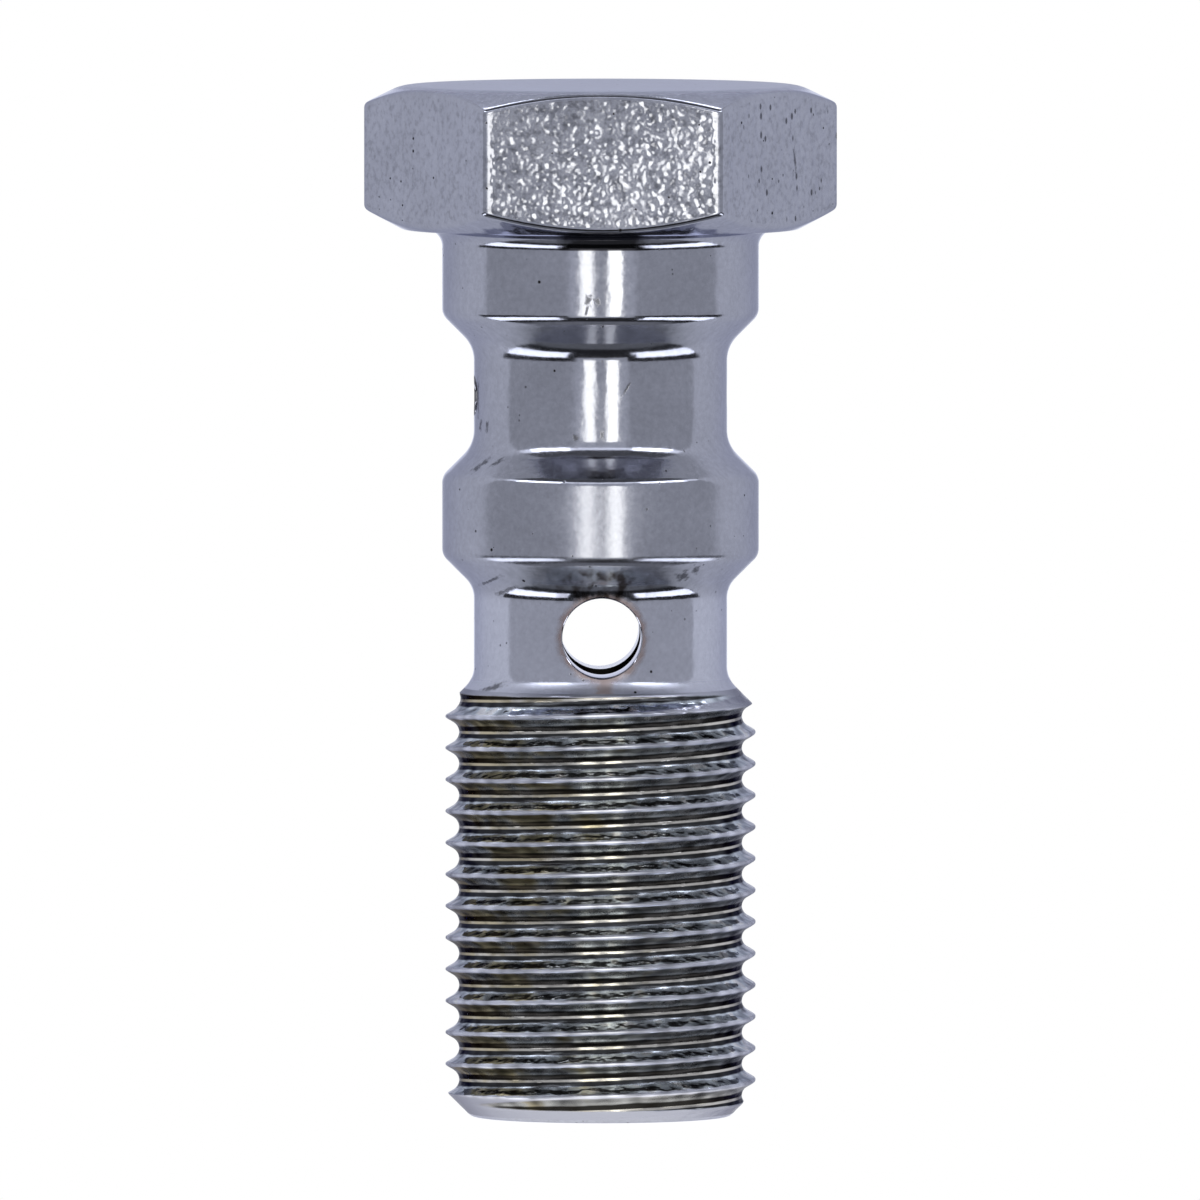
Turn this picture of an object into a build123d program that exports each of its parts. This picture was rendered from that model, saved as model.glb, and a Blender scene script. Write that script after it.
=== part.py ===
from build123d import *

import os
from math import radians, sqrt, tan

# Double banjo bolt with a fine M10 x 1 thread. One steel piece: turned from hexagon bar, drilled up
# the middle from its tip, and drilled across in two annular grooves, one for each banjo eye.
#
# Lengths are in millimetres and angles in degrees. +Z runs along the axis towards the head. The
# origin is on the axis, in the plane of the bearing face under the head. The head's front flat
# faces -Y, the lower cross hole runs along Y, and the upper one about 4 degrees off X.

# Head, left from the hexagon bar
HEAD_ACROSS_FLATS = 13.0
HEAD_HEIGHT = 4.55
HEAD_CORNER_RADIUS = 0.2
CROWN_FACE_DIA = 12.6
CROWN_CHAMFER_ANGLE = 26.0
CROWN_EDGE_RADIUS = 1.5
BEARING_FACE_DIA = 12.5
UNDER_HEAD_CHAMFER_ANGLE = 28.0

# Shank: two plain collars, with a groove under each
COLLAR_DIA = 10.0
UPPER_COLLAR_LENGTH = 2.7
MIDDLE_COLLAR_LENGTH = 2.5
COLLAR_EDGE_RADIUS = 0.3

GROOVE_DIA = 8.0
GROOVE_FLANK_ANGLE = 45.0
UPPER_GROOVE_LENGTH = 3.1
LOWER_GROOVE_LENGTH = 2.9
UPPER_GROOVE_FILLET = 1.1
LOWER_GROOVE_FILLET = 0.9

# Threaded end, at the major diameter. Its length includes the end chamfer.
THREAD_MAJOR_DIA = 9.8
THREADED_LENGTH = 12.95
TIP_FACE_DIA = 8.2
TIP_CHAMFER_ANGLE = 45.0

# Drillings
AXIAL_BORE_DIA = 3.5
AXIAL_BORE_OVERRUN = 0.4
DRILL_POINT_ANGLE = 118.0
BORE_MOUTH_CHAMFER = 0.3
UPPER_HOLE_DIA = 1.2
UPPER_HOLE_TURN = 4.3
LOWER_HOLE_DIA = 2.5
LOWER_HOLE_TURN = 90.0

# Stock left round the turned profile, and drills run this far past the metal
CUTTING_ALLOWANCE = 1.0

# A rounded corner takes at most this share of the shorter line beside it
CORNER_SHARE = 0.45


def run_along_axis(depth, angle_to_axis):
    """Axial length of a cone of the given radial depth."""
    return depth / tan(radians(angle_to_axis))


# Radii
collar_radius = COLLAR_DIA / 2
groove_radius = GROOVE_DIA / 2
thread_radius = THREAD_MAJOR_DIA / 2
tip_radius = TIP_FACE_DIA / 2
bore_radius = AXIAL_BORE_DIA / 2
blank_radius = HEAD_ACROSS_FLATS / sqrt(3) + CUTTING_ALLOWANCE

# Heights down the shank, each one from the one above
collar_flank_run = run_along_axis(collar_radius - groove_radius, GROOVE_FLANK_ANGLE)
thread_flank_run = run_along_axis(thread_radius - groove_radius, GROOVE_FLANK_ANGLE)
upper_collar_end = -UPPER_COLLAR_LENGTH
upper_groove_top = upper_collar_end - collar_flank_run
upper_groove_end = upper_groove_top - UPPER_GROOVE_LENGTH
middle_collar_top = upper_groove_end - collar_flank_run
middle_collar_end = middle_collar_top - MIDDLE_COLLAR_LENGTH
lower_groove_top = middle_collar_end - collar_flank_run
lower_groove_end = lower_groove_top - LOWER_GROOVE_LENGTH
thread_top = lower_groove_end - thread_flank_run
tip = thread_top - THREADED_LENGTH
tip_chamfer_top = tip + run_along_axis(thread_radius - tip_radius, TIP_CHAMFER_ANGLE)

# Each cross hole is in the middle of its groove
upper_hole_height = (upper_groove_top + upper_groove_end) / 2
lower_hole_height = (lower_groove_top + lower_groove_end) / 2


def cone_height(face_radius, angle, radius):
    """How far a chamfer cone has left its face by the given radius."""
    return (radius - face_radius) * tan(radians(angle))


def fitted_radius(wanted, before, corner, after):
    """The wanted corner radius, or as much of it as the lines beside the corner can hold."""
    if wanted == 0:
        return 0
    arriving = corner - before
    leaving = after - corner
    room = CORNER_SHARE * min(arriving.length, leaving.length)
    return min(wanted, room / tan(radians(arriving.get_angle(leaving) / 2)))


def turned_outline():
    """Corners of the turned half section from tip to crown: radius, height and corner radius."""
    crown_radius = CROWN_FACE_DIA / 2
    bearing_radius = BEARING_FACE_DIA / 2
    under_chamfer = cone_height(bearing_radius, UNDER_HEAD_CHAMFER_ANGLE, blank_radius)
    crown_chamfer = cone_height(crown_radius, CROWN_CHAMFER_ANGLE, blank_radius)
    return [
        (0, tip, 0),
        (tip_radius, tip, 0),
        (thread_radius, tip_chamfer_top, 0),
        (thread_radius, thread_top, 0),
        (groove_radius, lower_groove_end, LOWER_GROOVE_FILLET),
        (groove_radius, lower_groove_top, LOWER_GROOVE_FILLET),
        (collar_radius, middle_collar_end, COLLAR_EDGE_RADIUS),
        (collar_radius, middle_collar_top, COLLAR_EDGE_RADIUS),
        (groove_radius, upper_groove_end, UPPER_GROOVE_FILLET),
        (groove_radius, upper_groove_top, UPPER_GROOVE_FILLET),
        (collar_radius, upper_collar_end, COLLAR_EDGE_RADIUS),
        (collar_radius, 0, 0),
        (bearing_radius, 0, 0),
        (blank_radius, under_chamfer, 0),
        (blank_radius, HEAD_HEIGHT - crown_chamfer, 0),
        (crown_radius, HEAD_HEIGHT, CROWN_EDGE_RADIUS),
        (0, HEAD_HEIGHT, 0),
    ]


def make_turned_blank():
    """Everything that the lathe cuts, as if from round bar."""
    outline = turned_outline()
    corners = [Vector(radius, height) for radius, height, _ in outline]
    wanted = [corner_radius for _, _, corner_radius in outline]
    radii = [
        fitted_radius(wanted[i], corners[i - 1], corners[i], corners[(i + 1) % len(corners)])
        for i in range(len(corners))
    ]
    section = make_face(Plane.XZ * FilletPolyline(*corners, radius=radii, close=True))
    return revolve(section, Axis.Z)


def make_hexagon_bar():
    """The bar stock, with its slightly rounded corners, over the full length of the bolt."""
    hexagon = RegularPolygon(HEAD_ACROSS_FLATS / 2, side_count=6, major_radius=False)
    rounded = fillet(hexagon.vertices(), HEAD_CORNER_RADIUS)
    return extrude(Plane.XY.offset(tip) * rounded, HEAD_HEIGHT - tip)


def make_axial_drill():
    """The drill that comes up from the tip to just past the upper cross hole."""
    drill_end = upper_hole_height + UPPER_HOLE_DIA / 2 + AXIAL_BORE_OVERRUN
    point_run = run_along_axis(bore_radius, DRILL_POINT_ANGLE / 2)
    mouth_radius = bore_radius + BORE_MOUTH_CHAMFER
    section = make_face(
        Plane.XZ
        * Polyline(
            (0, tip - CUTTING_ALLOWANCE),
            (mouth_radius, tip - CUTTING_ALLOWANCE),
            (mouth_radius, tip),
            (bore_radius, tip + BORE_MOUTH_CHAMFER),
            (bore_radius, drill_end),
            (0, drill_end + point_run),
            close=True,
        )
    )
    return revolve(section, Axis.Z)


def make_cross_drill(diameter, height, turn):
    """A straight drill right through the shank, turned from the X axis towards Y."""
    across = Vector(1, 0, 0).rotate(Axis.Z, turn)
    place = Plane(origin=(0, 0, height), z_dir=across)
    return place * Cylinder(diameter / 2, COLLAR_DIA + 2 * CUTTING_ALLOWANCE)


def make_banjo_bolt():
    bolt = make_turned_blank() & make_hexagon_bar()
    bolt -= make_axial_drill()
    bolt -= make_cross_drill(UPPER_HOLE_DIA, upper_hole_height, UPPER_HOLE_TURN)
    bolt -= make_cross_drill(LOWER_HOLE_DIA, lower_hole_height, LOWER_HOLE_TURN)
    return bolt.solid()


os.makedirs("parts", exist_ok=True)
export_step(make_banjo_bolt(), "parts/banjo_bolt.step")
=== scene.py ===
from math import acos, atan2, cos, hypot, pi, radians, sin, sqrt, tan

import bmesh
import bpy
from mathutils import Matrix, Vector


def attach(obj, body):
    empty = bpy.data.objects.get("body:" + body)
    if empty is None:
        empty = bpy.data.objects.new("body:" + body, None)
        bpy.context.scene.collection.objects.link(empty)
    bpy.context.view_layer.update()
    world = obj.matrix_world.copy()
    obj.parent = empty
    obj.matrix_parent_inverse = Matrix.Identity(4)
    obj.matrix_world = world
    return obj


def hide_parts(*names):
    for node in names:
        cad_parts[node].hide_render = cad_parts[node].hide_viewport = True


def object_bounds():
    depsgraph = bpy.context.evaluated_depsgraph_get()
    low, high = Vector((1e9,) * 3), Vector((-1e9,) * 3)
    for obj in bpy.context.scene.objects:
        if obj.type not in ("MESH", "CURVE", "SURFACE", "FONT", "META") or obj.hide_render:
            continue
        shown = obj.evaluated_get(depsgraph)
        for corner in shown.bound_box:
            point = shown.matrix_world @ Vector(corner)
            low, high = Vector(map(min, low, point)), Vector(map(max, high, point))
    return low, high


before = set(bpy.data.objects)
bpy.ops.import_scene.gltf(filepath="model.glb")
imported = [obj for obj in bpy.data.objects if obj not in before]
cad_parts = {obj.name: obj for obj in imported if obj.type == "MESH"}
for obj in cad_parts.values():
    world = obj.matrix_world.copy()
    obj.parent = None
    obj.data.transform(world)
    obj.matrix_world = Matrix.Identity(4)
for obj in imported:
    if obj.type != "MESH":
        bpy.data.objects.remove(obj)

cad_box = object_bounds()


# ---- The head and the shank ------------------------------------------------------------------
# A double banjo bolt is one piece of free-cutting steel, turned from 13 mm hexagon bar. The head
# keeps the bar's drawn flats, a form tool cuts the two fluid grooves and leaves a collar over each,
# and a drill goes up the middle from the tip. The whole bolt is then plated with bright, bluish zinc.

# The mesh is built in millimetres, with +Z along the axis towards the head, and made metres at the end
MM = 0.001
low_corner, high_corner = (corner / MM for corner in cad_box)
TIP = round(low_corner.z, 2)
HEAD_HEIGHT = round(high_corner.z, 2)
BAR_ACROSS_FLATS = round(high_corner.y - low_corner.y, 2)
# Half the turn that one flat takes round the hexagon
HALF_FLAT_TURN = radians(30)
BAR_CORNER_RADIUS = 0.15
BAR_SHOULDER_RADIUS = 1.8
BAR_SHOULDER_LEAN = radians(8)
BAR_EDGE_SOFTENING = 0.14
CROWN_FACE_RADIUS = 6.3
CROWN_LEAN = radians(26)
CROWN_EDGE_RADIUS = 1.5
CROWN_EDGE_REACH = CROWN_EDGE_RADIUS * tan(CROWN_LEAN / 2)
CROWN_RING_RADIUS = 3.0
CROWN_RING_GAP = 0.05
BEARING_FACE_RADIUS = 6.25
BEARING_EDGE_SOFTENING = 0.07
BEARING_RING_RADIUS = 5.9
UNDER_HEAD_LEAN = radians(28)

COLLAR_RADIUS = 5.0
GROOVE_RADIUS = 4.0
UPPER_COLLAR_END = -2.7
UPPER_GROOVE_TOP = -3.7
UPPER_GROOVE_END = -6.8
MIDDLE_COLLAR_TOP = -7.8
MIDDLE_COLLAR_END = -10.3
LOWER_GROOVE_TOP = -11.3
LOWER_GROOVE_END = -14.2
LOWER_HOLE_RADIUS = 1.25
LOWER_HOLE_HEIGHT = -12.75
THREAD_RADIUS = 4.9
THREAD_TOP = -15.1
THREAD_START = -14.5
THREAD_END_RISE = 0.1
THREAD_END = TIP + THREAD_END_RISE
TIP_CHAMFER = 0.8
BORE_RADIUS = 1.75
BORE_MOUTH_CHAMFER = 0.3
BORE_SHOULDER = -4.25
DRILL_POINT_ANGLE = radians(118)
BORE_POINT = BORE_SHOULDER + BORE_RADIUS / tan(DRILL_POINT_ANGLE / 2)
POINT_RING_RADIUS = 0.1
POINT_RING_DROP = 0.06

# Radius, height and fillet of each corner, from the bearing face to where the thread starts
SHANK_CORNERS = [
    (BEARING_RING_RADIUS, 0.0, 0.0),
    (COLLAR_RADIUS, 0.0, 0.55),
    (COLLAR_RADIUS, UPPER_COLLAR_END, 0.5),
    (GROOVE_RADIUS, UPPER_GROOVE_TOP, 1.1),
    (GROOVE_RADIUS, UPPER_GROOVE_END, 1.1),
    (COLLAR_RADIUS, MIDDLE_COLLAR_TOP, 0.5),
    (COLLAR_RADIUS, MIDDLE_COLLAR_END, 0.5),
    (GROOVE_RADIUS, LOWER_GROOVE_TOP, 0.9),
    (GROOVE_RADIUS, LOWER_GROOVE_END, 0.9),
    (THREAD_RADIUS - (THREAD_START - THREAD_TOP), THREAD_START, 0.0),
]
# The same from where the thread ends, round the tip and up the drilling
TIP_CORNERS = [
    (THREAD_RADIUS - TIP_CHAMFER + THREAD_END_RISE, THREAD_END, 0.0),
    (THREAD_RADIUS - TIP_CHAMFER, TIP, 0.2),
    (BORE_RADIUS + BORE_MOUTH_CHAMFER, TIP, 0.05),
    (BORE_RADIUS, TIP + BORE_MOUTH_CHAMFER, 0.05),
    (BORE_RADIUS, BORE_SHOULDER, 0.05),
    (POINT_RING_RADIUS, BORE_POINT - POINT_RING_DROP, 0.0),
]

COLUMNS = 144
COLUMNS_PER_FLAT = COLUMNS // 6
CORNER_COLUMNS = 2
SHOULDER_COLUMNS = 3
CROWN_STEPS = 8
SOFTENING_STEPS = 4
BEARING_EDGE_STEPS = 3
FEWEST_FILLET_STEPS = 4
FILLET_STEPS_PER_RADIAN = 14

# The place of each finish in the list of materials
TURNED, FLATS, THREAD, DRILLED = range(4)


def bar_outline():
    """The drawn hexagon bar's outline, a corner on +X: its flats fall away a little before each corner."""
    flat = BAR_ACROSS_FLATS / 2
    spare = BAR_SHOULDER_RADIUS - BAR_CORNER_RADIUS
    centre_height = flat - BAR_SHOULDER_RADIUS + spare * cos(BAR_SHOULDER_LEAN)
    centre_along = centre_height * tan(HALF_FLAT_TURN)
    flat_end = centre_along - spare * sin(BAR_SHOULDER_LEAN)
    # Half of one flat, from the corner to its middle: distance along the flat and height over the axis
    half = []
    for step in range(CORNER_COLUMNS):
        lean = HALF_FLAT_TURN + (BAR_SHOULDER_LEAN - HALF_FLAT_TURN) * step / CORNER_COLUMNS
        along = centre_along + BAR_CORNER_RADIUS * sin(lean)
        half.append((along, centre_height + BAR_CORNER_RADIUS * cos(lean)))
    for step in range(SHOULDER_COLUMNS):
        lean = BAR_SHOULDER_LEAN * (1 - step / SHOULDER_COLUMNS)
        drop = BAR_SHOULDER_RADIUS * (1 - cos(lean))
        half.append((flat_end + BAR_SHOULDER_RADIUS * sin(lean), flat - drop))
    flat_columns = COLUMNS_PER_FLAT // 2 - len(half)
    for step in range(flat_columns + 1):
        half.append((flat_end * (1 - step / flat_columns), flat))
    outline = []
    for column in range(COLUMNS):
        step = column % COLUMNS_PER_FLAT
        along, height = half[min(step, COLUMNS_PER_FLAT - step)]
        if step <= COLUMNS_PER_FLAT // 2:
            along = -along
        # The flat's middle is half a flat on from its first corner
        middle = radians(60) * (column // COLUMNS_PER_FLAT) + HALF_FLAT_TURN
        x = height * cos(middle) - along * sin(middle)
        y = height * sin(middle) + along * cos(middle)
        outline.append((x, y))
    return outline


def crown_height(radius):
    """Height of the head's turned top at a radius: flat, then a rounded edge, then a cone."""
    inner = CROWN_FACE_RADIUS - CROWN_EDGE_REACH
    if radius <= inner:
        return HEAD_HEIGHT
    if radius <= CROWN_FACE_RADIUS + CROWN_EDGE_REACH * cos(CROWN_LEAN):
        return HEAD_HEIGHT - CROWN_EDGE_RADIUS + sqrt(CROWN_EDGE_RADIUS**2 - (radius - inner) ** 2)
    return HEAD_HEIGHT - (radius - CROWN_FACE_RADIUS) * tan(CROWN_LEAN)


def under_head_height(radius):
    """Height of the head's turned underside at a radius."""
    return max(0.0, radius - BEARING_FACE_RADIUS) * tan(UNDER_HEAD_LEAN)


def softened(start, corner, end, steps=SOFTENING_STEPS):
    """The points of a curve from start to end that leaves and arrives along the corner's sides."""
    points = []
    for step in range(steps + 1):
        t = step / steps
        shares = ((1 - t) ** 2, 2 * t * (1 - t), t * t)
        points.append(tuple(sum(s * v for s, v in zip(shares, values)) for values in zip(start, corner, end)))
    return points


def head_section(bar_radius):
    """Radius and height of the head's section where the bar's side is bar_radius from the axis."""
    edge = bar_radius - BAR_EDGE_SOFTENING
    crown_foot = CROWN_FACE_RADIUS - CROWN_EDGE_REACH
    section = [(CROWN_RING_RADIUS, HEAD_HEIGHT), (crown_foot - CROWN_RING_GAP, HEAD_HEIGHT)]
    for step in range(CROWN_STEPS):
        radius = crown_foot + (edge - crown_foot) * step / CROWN_STEPS
        section.append((radius, crown_height(radius)))
    top = crown_height(bar_radius)
    foot = under_head_height(bar_radius)
    flat_top = (bar_radius, top - BAR_EDGE_SOFTENING)
    flat_foot = (bar_radius, foot + BAR_EDGE_SOFTENING)
    section += softened((edge, crown_height(edge)), (bar_radius, top), flat_top)
    section += softened(flat_foot, (bar_radius, foot), (edge, under_head_height(edge)))
    rim = BEARING_FACE_RADIUS + BEARING_EDGE_SOFTENING
    rim_end = (BEARING_FACE_RADIUS - BEARING_EDGE_SOFTENING, 0.0)
    rim_start = (rim, under_head_height(rim))
    section += softened(rim_start, (BEARING_FACE_RADIUS, 0.0), rim_end, BEARING_EDGE_STEPS)
    section.append((BEARING_RING_RADIUS, 0.0))
    return section


def turned_section(corners):
    """Short lines round the fillet of each (radius, height, fillet) corner, but for the first and last."""
    section = []
    for before, corner, after in zip(corners, corners[1:], corners[2:]):
        here = Vector(corner[:2])
        back = (Vector(before[:2]) - here).normalized()
        ahead = (Vector(after[:2]) - here).normalized()
        bend = pi - acos(max(-1.0, min(1.0, back.dot(ahead))))
        fillet = corner[2]
        reach = fillet * tan(bend / 2)
        centre = here + (back + ahead).normalized() * hypot(reach, fillet)
        first = here + back * reach - centre
        last = here + ahead * reach - centre
        start = atan2(first.y, first.x)
        swing = (atan2(last.y, last.x) - start + pi) % (2 * pi) - pi
        steps = max(FEWEST_FILLET_STEPS, round(bend * FILLET_STEPS_PER_RADIAN))
        for step in range(steps + 1):
            turn = start + swing * step / steps
            section.append((centre.x + fillet * cos(turn), centre.y + fillet * sin(turn)))
    return section


def round_ring(blank, radius, height):
    """A ring of vertices at evenly turned columns."""
    turns = (2 * pi * column / COLUMNS for column in range(COLUMNS))
    return [blank.verts.new((radius * cos(turn), radius * sin(turn), height)) for turn in turns]


def skin(blank, rings, material, close_first=None, close_last=None):
    """Joins rings of vertices with quads, row by row, and can close either end to a point on the axis."""
    faces = []
    afters = [(column + 1) % COLUMNS for column in range(COLUMNS)]
    for upper, lower in zip(rings, rings[1:]):
        for column, after in enumerate(afters):
            faces.append(blank.faces.new((upper[column], lower[column], lower[after], upper[after])))
    if close_first is not None:
        pole = blank.verts.new((0, 0, close_first))
        for column, after in enumerate(afters):
            faces.append(blank.faces.new((pole, rings[0][column], rings[0][after])))
    if close_last is not None:
        pole = blank.verts.new((0, 0, close_last))
        for column, after in enumerate(afters):
            faces.append(blank.faces.new((pole, rings[-1][after], rings[-1][column])))
    for face in faces:
        face.material_index = material
    return faces


blank = bmesh.new()
outline = bar_outline()
sections = [head_section(hypot(x, y)) for x, y in outline]
head_rings = []
for row in range(len(sections[0])):
    ring = []
    for (x, y), section in zip(outline, sections):
        radius, height = section[row]
        scale = radius / hypot(x, y)
        ring.append(blank.verts.new((x * scale, y * scale, height)))
    head_rings.append(ring)
shank_section = turned_section(SHANK_CORNERS) + [SHANK_CORNERS[-1][:2]]
shank_rings = [round_ring(blank, *point) for point in shank_section]
upper_faces = skin(blank, head_rings + shank_rings, TURNED, close_first=HEAD_HEIGHT)
# The row of faces after the two rings of the top face, the crown's rings and its softened edge
flat_row = 2 + CROWN_STEPS + SOFTENING_STEPS
for face in upper_faces[flat_row * COLUMNS:(flat_row + 1) * COLUMNS]:
    face.material_index = FLATS
tip_section = [TIP_CORNERS[0][:2]] + turned_section(TIP_CORNERS) + [TIP_CORNERS[-1][:2]]
tip_rings = [round_ring(blank, *point) for point in tip_section]
for face in skin(blank, tip_rings, TURNED, close_last=BORE_POINT):
    if face.calc_center_median().xy.length < BORE_RADIUS:
        face.material_index = DRILLED

# How far the front flat reaches to either side of the axis
FRONT_FLAT_END = 3.7

STEEL = (0.47, 0.48, 0.54)
EDGE_TINT = (0.65, 0.66, 0.75, 1)
# Near black: bare steel in nicks and pits, also used for painted shade under the head and in the upper hole
BARE_AND_SHADE = (0.02, 0.018, 0.018, 1)
# Painted shade for the flanks that face down
DOWN_FLANK_SHADE = (0.12, 0.13, 0.13, 1)
TARNISH = (0.27, 0.17, 0.14, 1)
TARNISH_RUN = (0.5, 0.4, 0.37, 1)
DARK_BROWN = (0.05, 0.035, 0.028, 1)

TURNED_ROUGHNESS = 0.1
FLATS_ROUGHNESS = 0.13
NICK_DEPTH = 0.003
PIT_DEPTH = 0.01
PEEL_RELIEF = 0.036

# How far past the lower hole's rim the tarnish is full, and where it has gone
TARNISH_FADE = (0.02, 0.3)
# Its run: the middle's place across, where its sides fade, and its lowest and highest place from the hole
RUN_MIDDLE = 0.03
RUN_FADE = (0.15, 0.42)
RUN_HEIGHTS = (-2.15, -1.3)
# The heights of the painted shade under the head, and how far from the middle each mark is full and has gone
UNDER_HEAD_SHADE_HEIGHTS = (-0.5, 0.14)
UNDER_HEAD_SHADE_FADE = (0.9, 1.6)
DOWN_FLANK_SHADE_FADE = (2.2, 3.4)
DARK_BROWN_FADE = (0.6, 2.0)

# Places that are duller than the rest: lowest and highest height, and how much roughness is added
DULLER = [
    (HEAD_HEIGHT - 0.1, HEAD_HEIGHT + 0.25, 0.3),  # the crown's face
    (UPPER_GROOVE_END, 0.0, 0.02),  # the upper collar and groove
    (UPPER_GROOVE_TOP + 0.05, UPPER_COLLAR_END - 0.15, 0.03),  # the flank over the upper groove
    (MIDDLE_COLLAR_TOP + 0.05, UPPER_GROOVE_END - 0.1, 0.03),  # the flank under it
    (MIDDLE_COLLAR_END - 0.1, MIDDLE_COLLAR_TOP - 0.1, 0.12),  # the middle collar, which is satin
    (LOWER_GROOVE_TOP + 0.1, MIDDLE_COLLAR_END - 0.1, 0.05),  # the flank over the lower groove
    (THREAD_TOP - 0.5, LOWER_GROOVE_END, 0.3),  # the flank that runs into the thread
]

# Nicks in the front of the shank: across and up, lean in degrees, half length and half width
NICKS = [
    (-0.44, -2.05, 10, 0.13, 0.09),
    (-0.16, -2.1, -20, 0.12, 0.07),
    (-0.5, -2.4, 15, 0.18, 0.03),
    (0.8, -4.85, 30, 0.19, 0.03),
    (-0.82, -6.45, 0, 0.09, 0.08),
    (0.0, -6.35, 0, 0.1, 0.06),
    (-3.8, -6.15, 5, 0.15, 0.035),
    (-3.6, -6.15, 5, 0.15, 0.035),
    (-3.88, -5.3, 0, 0.5, 0.03),
    (-3.8, -7.35, 55, 0.3, 0.05),
    (-3.3, -7.25, 60, 0.22, 0.04),
    (-3.5, -11.0, 60, 0.3, 0.04),
    (-3.0, -11.3, 65, 0.3, 0.05),
    (2.55, -10.8, 70, 0.16, 0.12),
    (2.95, -10.6, 20, 0.12, 0.08),
    (-3.45, -14.4, 68, 0.36, 0.07),
]
# A scratch on the right side flat, in the same way
SCRATCH = (6.1, 2.3, -6, 0.33, 0.03)


def add_node(tree, kind, inputs=(), **settings):
    """Adds a node with its settings, and links or sets each of its inputs."""
    node = tree.nodes.new(kind)
    for name, value in settings.items():
        setattr(node, name, value)
    for key, value in dict(inputs).items():
        if isinstance(value, bpy.types.NodeSocket):
            tree.links.new(value, node.inputs[key])
        else:
            node.inputs[key].default_value = value
    return node


def result_of(tree, kind, inputs=(), **settings):
    """The first output of a new node."""
    return add_node(tree, kind, inputs, **settings).outputs[0]


def calc(tree, operation, *values):
    """The result of one Math node."""
    return result_of(tree, "ShaderNodeMath", dict(enumerate(values)), operation=operation)


def times(tree, first, second):
    """The product of two values."""
    return calc(tree, "MULTIPLY", first, second)


def plus(tree, first, second):
    """The sum of two values."""
    return calc(tree, "ADD", first, second)


def minus(tree, first, second):
    """The first value less the second."""
    return calc(tree, "SUBTRACT", first, second)


def chained(tree, operation, values):
    """One operation over several values, such as their product or the highest of them."""
    result = values[0]
    for value in values[1:]:
        result = calc(tree, operation, result, value)
    return result


def place_mm(tree, stretch=(1, 1, 1)):
    """Object coordinates in millimetres, stretched per axis."""
    spot = add_node(tree, "ShaderNodeTexCoord").outputs["Object"]
    scale = tuple(axis / MM for axis in stretch)
    return result_of(tree, "ShaderNodeMapping", {"Vector": spot, "Scale": scale})


def axes_mm(tree):
    """Object coordinates in millimetres, as separate X, Y and Z."""
    return add_node(tree, "ShaderNodeSeparateXYZ", {0: place_mm(tree)}).outputs


def noise(tree, place, scale, detail=2.0, roughness=0.5):
    """Noise about zero, with the given number of features a millimetre."""
    inputs = {"Vector": place, "Scale": scale, "Detail": detail, "Roughness": roughness}
    return minus(tree, result_of(tree, "ShaderNodeTexNoise", inputs), 0.5)


def ramp(tree, value, low, high, at_low=0.0, at_high=1.0):
    """A smooth step from one value to another as the input passes from low to high."""
    inputs = {"Value": value, "From Min": low, "From Max": high, "To Min": at_low, "To Max": at_high}
    return result_of(tree, "ShaderNodeMapRange", inputs, interpolation_type="SMOOTHSTEP")


def band(tree, value, low, high, soft):
    """1 between low and high, 0 outside, with soft edges of the given width."""
    rise = ramp(tree, value, low - soft / 2, low + soft / 2)
    return times(tree, rise, ramp(tree, value, high - soft / 2, high + soft / 2, 1.0, 0.0))


def mixed(tree, share, first, second):
    """A colour between two colours."""
    return add_node(tree, "ShaderNodeMix", {0: share, 6: first, 7: second}, data_type="RGBA").outputs[2]


def toned(tree, colour, tone):
    """A colour made lighter or darker."""
    return result_of(tree, "ShaderNodeVectorMath", {0: colour, 3: tone}, operation="SCALE")


def shader_group(name, inputs, outputs):
    """An empty shader group: its tree, its input sockets by name, and its output node."""
    tree = bpy.data.node_groups.new(name, "ShaderNodeTree")
    for label, value in inputs.items():
        kind = "NodeSocketVector" if isinstance(value, tuple) else "NodeSocketFloat"
        tree.interface.new_socket(name=label, in_out="INPUT", socket_type=kind).default_value = value
    for label in outputs:
        tree.interface.new_socket(name=label, in_out="OUTPUT", socket_type="NodeSocketFloat")
    return tree, add_node(tree, "NodeGroupInput").outputs, add_node(tree, "NodeGroupOutput")


def grain_group():
    """Cloudy tone, uneven gloss and faint turning lines of plated steel."""
    inputs = {"Lines": 0.001, "Ripple": 0.006, "Mottling": 0.45}
    tree, size, out = shader_group("plating_grain", inputs, ["Tone", "Gloss", "Height"])
    cloud = noise(tree, place_mm(tree), 0.6, 3.0)
    mottling = noise(tree, place_mm(tree), 5.0, 3.0, 0.7)
    tone = calc(tree, "MULTIPLY_ADD", mottling, size["Mottling"], 1.0)
    tree.links.new(calc(tree, "MULTIPLY_ADD", cloud, 0.25, tone), out.inputs["Tone"])
    gloss = calc(tree, "MULTIPLY_ADD", mottling, 0.1, times(tree, cloud, 0.12))
    tree.links.new(gloss, out.inputs["Gloss"])
    lines = noise(tree, place_mm(tree, (0.15, 0.15, 1)), 16.0)
    ripple = times(tree, noise(tree, place_mm(tree, (1, 1, 0.6)), 2.2), size["Ripple"])
    tree.links.new(calc(tree, "MULTIPLY_ADD", lines, size["Lines"], ripple), out.inputs["Height"])
    return tree


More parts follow.
